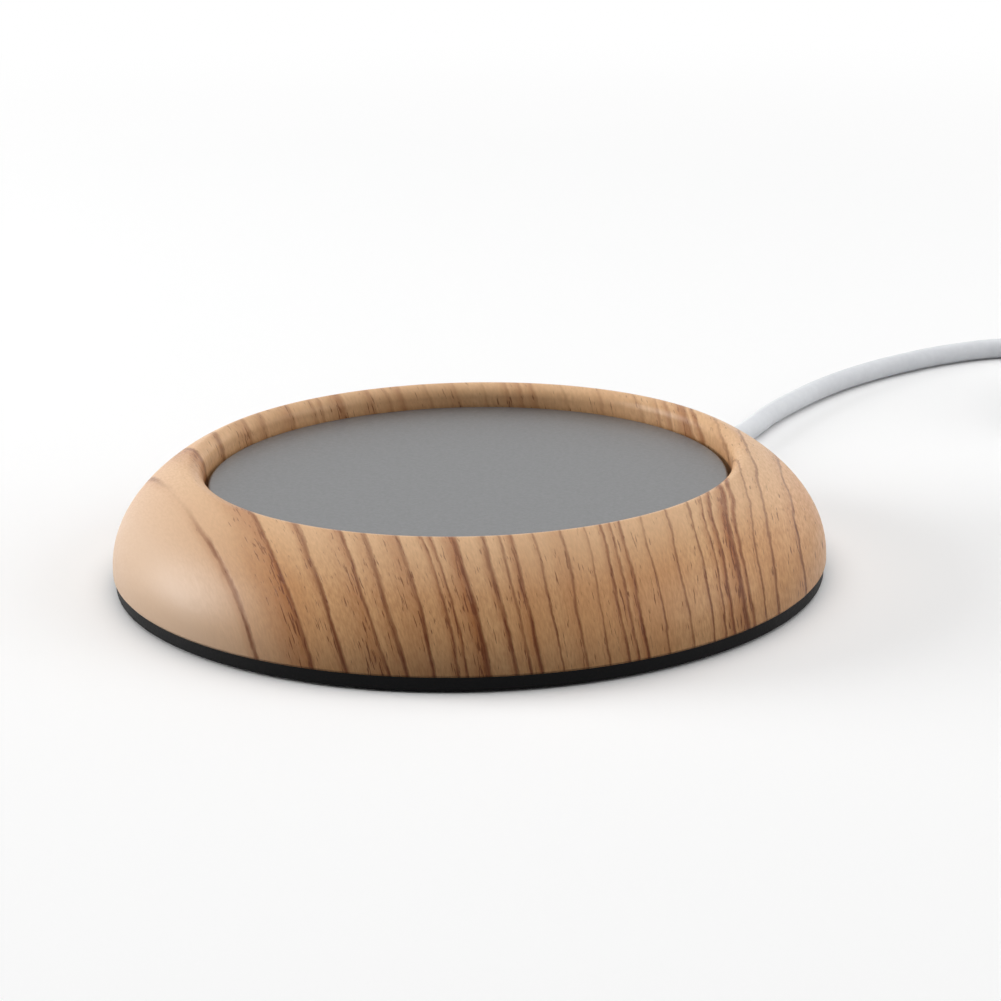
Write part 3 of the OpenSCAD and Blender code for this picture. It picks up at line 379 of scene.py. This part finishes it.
bpy.context.view_layer.update()
rings = [(board_place(column), *look) for column, *look in growth]
wood_grain, tree, shader = new_material("wood_grain")
turned = add(tree, "ShaderNodeMapping", {
    "Vector": add(tree, "ShaderNodeTexCoord").outputs["Object"], "Rotation": (0, 0, -grain_turn),
    "Scale": (1 / mm, 1 / mm, 1 / mm)})
split = add(tree, "ShaderNodeSeparateXYZ", {"Vector": turned.outputs["Vector"]})
across, deep, high = split.outputs
lean = calc(tree, "MULTIPLY_ADD", high, lean_up, calc(tree, "MULTIPLY_ADD", deep, lean_back, across))
flare = calc(tree, "MULTIPLY_ADD", high, fan_up, calc(tree, "MULTIPLY", deep, fan_back))
board = calc(tree, "SUBTRACT", lean, calc(tree, "MULTIPLY", across, flare))
board_space = add(tree, "ShaderNodeCombineXYZ", {"X": board, "Y": deep, "Z": high}).outputs["Vector"]


def fibres(width, length, detail=2.0, shift=0.0):
    """Noise drawn out along the rings: its size across them and along them, in millimetres."""
    stretched = add(tree, "ShaderNodeMapping", {
        "Vector": board_space, "Location": (shift, 0, 0), "Scale": (1 / width, 1 / length, 1 / length)})
    return add(tree, "ShaderNodeTexNoise", {
        "Vector": stretched.outputs["Vector"], "Scale": 1.0, "Detail": detail}).outputs["Fac"]


def stretch(value, low, high, to_low=0.0, to_high=1.0):
    """A value's range from low to high, drawn out to another and held at its ends."""
    return add(tree, "ShaderNodeMapRange", {
        "Value": value, "From Min": low, "From Max": high, "To Min": to_low, "To Max": to_high,
    }).outputs["Result"]


def blend(share, below, above):
    """One colour over another by that share."""
    return add(tree, "ShaderNodeMix", {0: share, 6: below, 7: above}, data_type="RGBA").outputs[2]


sways = ((14, 18, 2.4), (3.5, 7, 0.6), (0.6, 1.6, 0.4), (0.25, 0.7, 0.2))
ring_place = board
for width, length, reach in sways:
    sway = calc(tree, "SUBTRACT", fibres(width, length, shift=reach), 0.5)
    ring_place = calc(tree, "MULTIPLY_ADD", sway, reach, ring_place)

rows_a_ramp = 7
ramp_before, ramp_after, least_gap = 0.5, 1, 0.05
marks = None
for first in range(0, len(rings), rows_a_ramp):
    rows = rings[first:first + rows_a_ramp]
    start, end = rows[0][0] - rows[0][3] - ramp_before, rows[-1][0] + ramp_after
    ramp = add(tree, "ShaderNodeValToRGB", {"Fac": stretch(ring_place, start, end)})
    stops = []
    last = start
    for place, half, dark, band_w, band in rows:
        stops += [(max(place - band_w, last + least_gap), 0, 0), (place - half, 0, band), (place, dark, band),
                  (place + half, 0, 0)]
        last = place + half
    elements = ramp.color_ramp.elements
    elements.remove(elements[1])
    for i, (place, dark, band) in enumerate(stops):
        share = (place - start) / (end - start)
        if i:
            elements.new(share)
        else:
            elements[0].position = share
        elements[i].color = (dark, band, 0, 1)
    if marks is None:
        marks = ramp.outputs["Color"]
    else:
        marks = add(tree, "ShaderNodeVectorMath", {0: marks, 1: ramp.outputs["Color"]}).outputs["Vector"]
marks = add(tree, "ShaderNodeSeparateXYZ", {"Vector": marks})

# The first ring stops below the crest and short of the back, and the far side's lines are fainter
first_ring = (-41.5, -38.5, 1.0, 0.0)
first_ring_top, first_ring_back = (15, 17.5), (8, 16)
crest_zone, far_zone = (13, 18), (5, 30)
crest_thinning = (9, 17, 1.0, 0.65)
far_least, far_band_least = 0.28, 0.6
line_power = 0.45
line_breaks, band_breaks = (0.34, 0.54, 0.6, 1.0), (0.3, 0.7, 0.55, 1.0)
line = calc(tree, "POWER", marks.outputs["X"], line_power)
crest_fade = calc(tree, "MAXIMUM", stretch(high, *first_ring_top), stretch(deep, *first_ring_back))
crest_fade = calc(tree, "MULTIPLY", stretch(board, *first_ring), crest_fade)
below_crest = calc(tree, "SUBTRACT", 1.0, crest_fade)
line = calc(tree, "MULTIPLY", line, below_crest)
far_share = stretch(deep, *far_zone, 1.0, far_least)
line = calc(tree, "MULTIPLY", line, far_share)
line = calc(tree, "MULTIPLY", line, stretch(high, *crest_thinning))
line = calc(tree, "MULTIPLY", line, stretch(fibres(0.8, 7, shift=11), *line_breaks))
band = calc(tree, "MULTIPLY", marks.outputs["Y"], stretch(fibres(1.4, 12, shift=5), *band_breaks))
band = calc(tree, "MULTIPLY", band, stretch(far_share, far_least, 1.0, far_band_least, 1.0))
band = calc(tree, "MULTIPLY", band, below_crest)

# Pores open in the bands and close in the sapwood at the left end
# The left end's zone is partly the print's sapwood, where the pores close, and partly a painted highlight
sapwood_highlight_zone = (-52, -36, 1.0, 0.0)
openness = 0.2
pore_zone = (0.66, 0.72)
sapwood_and_highlight = stretch(board, *sapwood_highlight_zone)
open_grain = calc(tree, "MULTIPLY_ADD", band, openness, calc(tree, "MULTIPLY", sapwood_and_highlight, -openness))
pore = stretch(calc(tree, "ADD", fibres(0.3, 2.6, shift=2), open_grain), *pore_zone)
fleck = fibres(0.3, 1.1, detail=4.0, shift=9)
ray_fleck = calc(tree, "MULTIPLY", stretch(fibres(1.6, 0.45, shift=21), 0.5, 0.7), band)

# Tones, from the plain wood up to the lines, with painted highlight on the crest and, in part, at the left
# end
wood_tones = tone(216, 168, 120), tone(206, 153, 104)
fleck_tone, crest_highlight_tone, sapwood_highlight_tone = tone(180, 128, 84), tone(234, 200, 160), tone(218, 187, 158)
band_tone, ray_tone = tone(150, 84, 34), tone(204, 134, 88)
pore_tone, line_tone = tone(104, 52, 18), tone(108, 52, 16)
fleck_share, crest_highlight_share, sapwood_highlight_share, band_share, ray_share = 0.6, 0.4, 0.9, 0.9, 0.3
pore_share, crest_pore_share = 0.8, 0.45
plain = blend(stretch(fibres(9, 34), 0.35, 0.65), *wood_tones)
plain = blend(stretch(fleck, 0.35, 0.65, 0.0, fleck_share), plain, fleck_tone)
# Painted highlight: the wood turns to a paler tone towards the crest, standing in for the sheen and brighter
# light on the rim's top
plain = blend(stretch(high, *crest_zone, 0.0, crest_highlight_share), plain, crest_highlight_tone)
# Partly painted highlight: the left end turns to a pale, whitish tone that stands in for the light and sheen
# from the left, over the print's paler sapwood
plain = blend(calc(tree, "MULTIPLY", sapwood_and_highlight, sapwood_highlight_share), plain, sapwood_highlight_tone)
toned = blend(calc(tree, "MULTIPLY", band, band_share), plain, band_tone)
toned = blend(calc(tree, "MULTIPLY", ray_fleck, ray_share), toned, ray_tone)
pore_strength = stretch(high, *crest_zone, pore_share, crest_pore_share)
toned = blend(calc(tree, "MULTIPLY", pore, pore_strength), toned, pore_tone)
toned = blend(line, toned, line_tone)
tree.links.new(toned, shader.inputs["Base Color"])
film_rough = (0.33, 0.44)
tree.links.new(stretch(fleck, 0.3, 0.7, *film_rough), shader.inputs["Roughness"])
grain_depth = 0.03
height = calc(tree, "MULTIPLY_ADD", pore, -0.5, calc(tree, "MULTIPLY", line, -1.0))
height = calc(tree, "MULTIPLY_ADD", fleck, 0.5, height)
relief = add(tree, "ShaderNodeBump", {"Height": height, "Strength": 1.0, "Distance": grain_depth * mm})
tree.links.new(relief.outputs["Normal"], shader.inputs["Normal"])
shader.inputs["Specular IOR Level"].default_value = 0.22
rim_film.data.materials.append(wood_grain)
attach(rim_film, "warmer")

rim_abs = finish("rim_abs", ((186, 146, 112), (198, 158, 124)), 0.5, 0.5, 0.02)
paint(rim_abs, "rim_shell")

# ---------------------------------------------------------------------------
# Heating plate. Turned aluminium, bead-blasted and clear anodised to a satin
# grey, on a silicone seal, and pulled down on the ledge by four screws.
plate_satin = finish("plate_satin", ((110, 111, 112), (122, 123, 124)), 0.42, 0.4, 0.012, metal=1.0,
                     spread=0.02, cloud=0.8)
silicone = finish("silicone", ((200, 196, 190), (212, 208, 202)), 0.62, 0.6, 0.02)
paint(plate_satin, "heating_plate")
paint(silicone, "plate_seal")

# ---------------------------------------------------------------------------
# Heater. An etched foil track on polyimide film under the plate, with a fibre
# pad below it, all held up by a pressed aluminium shield.
polyimide = finish("polyimide", ((170, 96, 26), (188, 112, 34)), 0.22, 2.0, 0.004, spread=0.04)
heater_foil = finish("heater_foil", ((172, 112, 74), (190, 128, 86)), 0.3, 0.5, 0.006, metal=1.0)
fibre_pad = finish("fibre_pad", ((214, 208, 192), (236, 232, 222)), 0.95, 0.35, 0.12)
shield_sheet = finish("shield_sheet", ((188, 190, 192), (204, 205, 207)), 0.3, 0.9, 0.006, metal=1.0,
                      sizes=(1, 0.06, 1))
paint(polyimide, "heater_film")
paint(heater_foil, "heater_track")
paint(fibre_pad, "insulation_pad")
paint(shield_sheet, "heat_shield")
paint(zinc, "shield_screws")

# ---------------------------------------------------------------------------
# Thermal cut-out. A moulded case with tinned tabs, pressed up against the plate
# by a spring clip that two small screws hold to the shield.
cutout_case = finish("cutout_case", ((38, 40, 44), (50, 53, 58)), 0.3, 0.5, 0.01)
tinned = finish("tinned", ((196, 196, 194), (212, 212, 210)), 0.28, 0.4, 0.006, metal=1.0)
spring_strip = finish("spring_strip", ((164, 165, 168), (180, 181, 184)), 0.26, 0.8, 0.004, metal=1.0,
                      sizes=(0.08, 1, 1))
paint(cutout_case, "thermal_cutout")
paint(tinned, "cutout_tabs")
paint(spring_strip, "cutout_clip")
paint(zinc, "clip_screws")

# ---------------------------------------------------------------------------
# Wires and clamp. PVC-covered wires with shrunk sleeves over their joints, and a
# black plate that clamps the lead on its bed with two screws.
red_pvc = finish("red_pvc", ((176, 44, 36), (196, 58, 46)), 0.36, 0.5, 0.01)
orange_pvc = finish("orange_pvc", ((216, 112, 38), (230, 130, 54)), 0.36, 0.5, 0.01)
black_pvc = finish("black_pvc", ((24, 24, 26), (36, 36, 38)), 0.38, 0.5, 0.01)
shrunk_sleeve = finish("shrunk_sleeve", ((40, 40, 42), (54, 54, 56)), 0.5, 0.7, 0.03)
paint(red_pvc, "live_wire", "switch_wires")
paint(orange_pvc, "link_wire")
paint(black_pvc, "return_wire")
paint(shrunk_sleeve, "wire_sleeves")
paint(base_abs, "cord_clamp")
paint(zinc, "clamp_screws")

# ---------------------------------------------------------------------------
# Coil strap. A narrow woven hook-and-loop band, wrapped once round the wound lead
# and pressed down on itself on top.
strap_w, strap_t, strap_turn = 8.0, 0.65, math.radians(250)
hold_gap = 0.06
hold_r = lead_d / 2 + hold_gap
lap_gap, strap_edge = 0.08, 0.14
strand_angle, strand_steps = 60, 4
overlap_at, wrap_end = 7, 8
wrap = []
for k in range(1, wrap_end + 1):
    lift = 0.0 if k < overlap_at else strap_t + lap_gap
    for step in range(strand_steps + 1):
        turn = math.radians(strand_angle * (k - 0.5 + step / strand_steps))
        middle = math.radians(strand_angle * k)
        wrap.append((lead_d * math.cos(middle) + (hold_r + lift) * math.cos(turn),
                     lead_d * math.sin(middle) + (hold_r + lift) * math.sin(turn)))
bpy.ops.object.select_all(action="DESELECT")
bpy.ops.mesh.primitive_plane_add(size=strap_w * mm)
strap = start_piece("coil_strap")
bpy.ops.mesh.select_all(action="DESELECT")
bpy.ops.object.mode_set(mode="OBJECT")
for vertex in strap.data.vertices:
    vertex.select = vertex.co.x > 0
bpy.ops.object.mode_set(mode="EDIT")
bpy.ops.mesh.delete(type="VERT")
bpy.ops.mesh.select_all(action="SELECT")
bpy.ops.transform.translate(value=((wrap[0][0] + strap_w / 2) * mm, 0, wrap[0][1] * mm))
for (x0, z0), (x1, z1) in zip(wrap, wrap[1:]):
    bpy.ops.mesh.extrude_edges_move(TRANSFORM_OT_translate={"value": ((x1 - x0) * mm, 0, (z1 - z0) * mm)})
corner_r = 1.8
bpy.ops.mesh.bevel(offset=corner_r * mm, segments=5, affect="VERTICES")
bpy.ops.mesh.select_all(action="SELECT")
bpy.ops.mesh.normals_make_consistent(inside=False)
web = strap.modifiers.new("web", "SOLIDIFY")
web.thickness = strap_t * mm
web.offset = 1
edge = strap.modifiers.new("edge", "BEVEL")
edge.width = strap_edge * mm
edge.segments = 2
edge.limit_method = "ANGLE"
edge.angle_limit = math.radians(50)
apply_all(strap)
strap.location = (
    (coil_at[0] + coil_r * math.cos(strap_turn)) * mm, (coil_at[1] + coil_r * math.sin(strap_turn)) * mm,
    (coil_low + row_rise) * mm)
strap.rotation_euler = (0, 0, strap_turn)
bpy.ops.object.transform_apply(location=True, rotation=True, scale=True)
bpy.ops.object.shade_smooth_by_angle(angle=math.radians(40))
strap_web = finish("strap_web", ((188, 190, 192), (226, 228, 229)), 0.9, 0.28, 0.16)
strap.data.materials.append(strap_web)
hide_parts("coil_tie")
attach(strap, "warmer")


# ---------------------------------------------------------------------------
# In-line switch. Two satin ABS shells screwed together round the lead, with a
# glossier rocker that tips on moulded trunnions and presses a brass bridge.
weld_gap = 0.002


def soften(node, width, name, material):
    """A copy of a CAD node in that material with its edges rounded, which stands for the node."""
    piece = bpy.data.objects.new(name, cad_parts[node].data.copy())
    bpy.context.collection.objects.link(piece)
    pick(piece)
    bpy.ops.object.mode_set(mode="EDIT")
    bpy.ops.mesh.select_all(action="SELECT")
    bpy.ops.mesh.remove_doubles(threshold=weld_gap * mm)
    bpy.ops.mesh.dissolve_limited(angle_limit=math.radians(1))
    rounding = piece.modifiers.new("rounding", "BEVEL")
    rounding.width = width * mm
    rounding.segments = 3
    rounding.limit_method = "ANGLE"
    rounding.angle_limit = math.radians(40)
    apply_all(piece)
    bpy.ops.object.shade_smooth_by_angle(angle=math.radians(30))
    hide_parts(node)
    piece.data.materials.clear()
    piece.data.materials.append(material)
    return piece


shell_abs = finish("shell_abs", ((219, 222, 224), (230, 232, 234)), 0.42, 0.3, 0.02)
rocker_abs = finish("rocker_abs", ((204, 208, 211), (216, 220, 222)), 0.26, 0.8, 0.006)
brass = finish("brass", ((206, 170, 98), (224, 190, 116)), 0.3, 0.6, 0.006, metal=1.0)
case_edge, grip_edge = 0.3, 0.4
for node, name, material, slot, body in (
        ("switch_lower_shell", "switch_lower_case", shell_abs, "switch_plastic", "warmer"),
        ("switch_upper_shell", "switch_upper_case", shell_abs, "switch_plastic", "warmer"),
        ("switch_rocker", "switch_rocker_cap", rocker_abs, "rocker_plastic", "rocker")):
    case = soften(node, case_edge, name, material)
    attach(case, body)
paint(brass, "switch_bridge", "switch_contacts")
paint(zinc, "switch_screws")

# ---------------------------------------------------------------------------
# USB plug. A PVC grip moulded over the lead and the back of a folded nickel-plated
# shell, which holds a white tongue with four gold-flashed contacts.
usb_nickel = finish("usb_nickel", ((158, 159, 162), (174, 175, 177)), 0.34, 0.5, 0.004, metal=1.0)
usb_tongue_white = finish("usb_tongue_white", ((226, 226, 226), (238, 238, 238)), 0.4, 0.4, 0.01)
usb_gold = finish("usb_gold", ((214, 174, 96), (230, 192, 116)), 0.22, 0.4, 0.003, metal=1.0)
grip = soften("usb_grip", grip_edge, "usb_grip_moulding", boot_pvc)
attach(grip, "warmer")
paint(usb_nickel, "usb_shell")
paint(usb_tongue_white, "usb_tongue")
paint(usb_gold, "usb_contacts")

# ---------------------------------------------------------------------------
# Table, backdrop and lights. A pale sweep that stays white to the lens and keeps
# the soft shadow, but throws little light back up under the casing. It is clear from below.
def seen_share(tree):
    """1 for rays that reach the lens straight, by a reflection or through a clear piece, else 0."""
    ray = add(tree, "ShaderNodeLightPath")
    seen = calc(tree, "MAXIMUM", ray.outputs["Is Camera Ray"], ray.outputs["Is Glossy Ray"])
    return calc(tree, "MAXIMUM", seen, ray.outputs["Is Transmission Ray"])


table_side = 6
shade_r, pale_r = 0.06, 0.085
shade_tone, pale_tone = (0.12, 0.12, 0.12, 1), (0.7, 0.7, 0.7, 1)
glow_from, glow_full = 0.22, 0.6
unseen_sky = 0.07
white = (1, 1, 1, 1)
bpy.ops.mesh.primitive_plane_add(size=table_side)
table = bpy.context.object
table.name = "table"
table_top, tree, shader = new_material("table_top")
seen = seen_share(tree)
apart = add(tree, "ShaderNodeVectorMath", {0: add(tree, "ShaderNodeTexCoord").outputs["Object"]},
            operation="LENGTH").outputs["Value"]
clear_of = add(tree, "ShaderNodeMapRange", {"Value": apart, "From Min": shade_r, "From Max": pale_r})
thrown = add(tree, "ShaderNodeMix", {
    0: clear_of.outputs["Result"], 6: shade_tone, 7: pale_tone}, data_type="RGBA")
pale = add(tree, "ShaderNodeMix", {0: seen, 6: thrown.outputs[2], 7: white}, data_type="RGBA")
tree.links.new(pale.outputs[2], shader.inputs["Base Color"])
shader.inputs["Roughness"].default_value = 1.0
shader.inputs["Specular IOR Level"].default_value = 0.0
glow_share = add(tree, "ShaderNodeMapRange", {
    "Value": apart, "From Min": glow_from, "From Max": glow_full}, interpolation_type="SMOOTHSTEP")
glow = add(tree, "ShaderNodeEmission", {"Color": white, "Strength": 1.0})
both = add(tree, "ShaderNodeMixShader", {
    0: calc(tree, "MULTIPLY", seen, glow_share.outputs["Result"]), 1: shader.outputs["BSDF"],
    2: glow.outputs["Emission"]})
two_sided = add(tree, "ShaderNodeMixShader", {
    0: add(tree, "ShaderNodeNewGeometry").outputs["Backfacing"], 1: both.outputs["Shader"],
    2: add(tree, "ShaderNodeBsdfTransparent").outputs["BSDF"]})
tree.links.new(two_sided.outputs["Shader"], tree.nodes["Material Output"].inputs["Surface"])
table.data.materials.append(table_top)

world = bpy.data.worlds.new("studio")
bpy.context.scene.world = world
world.use_nodes = True
tree = world.node_tree
sky = tree.nodes["Background"]
sky.inputs["Color"].default_value = white
power = add(tree, "ShaderNodeMapRange", {"Value": seen_share(tree), "To Min": unseen_sky, "To Max": 1.0})
tree.links.new(power.outputs["Result"], sky.inputs["Strength"])


def softbox(name, stands, size, watts):
    """A square soft light that stands at a point, in metres, and faces the casing."""
    bpy.ops.object.light_add(type="AREA", location=stands)
    light = bpy.context.object
    light.name = name
    light.data.size = size
    light.data.energy = watts
    light.rotation_euler = (-stands).to_track_quat("-Z", "Y").to_euler()


def from_lens(right, beyond, high):
    """A point given by how far it lies right of the casing, beyond it and above it, as the lens sees it."""
    away = Vector((-math.sin(view_turn), math.cos(view_turn), 0))
    return level * right + away * beyond + Vector((0, 0, high))


softbox("key_light", from_lens(-1.1, 0.17, 0.34), 0.6, 10.0)
softbox("top_light", from_lens(0, 0.2, 1.25), 1.74, 13.8)
softbox("fill_light", from_lens(1.0, -0.2, 0.5), 0.8, 4.7)
softbox("back_light", from_lens(0.9, 0.9, 0.6), 0.8, 1.5)
bpy.context.scene.view_settings.view_transform = "Standard"
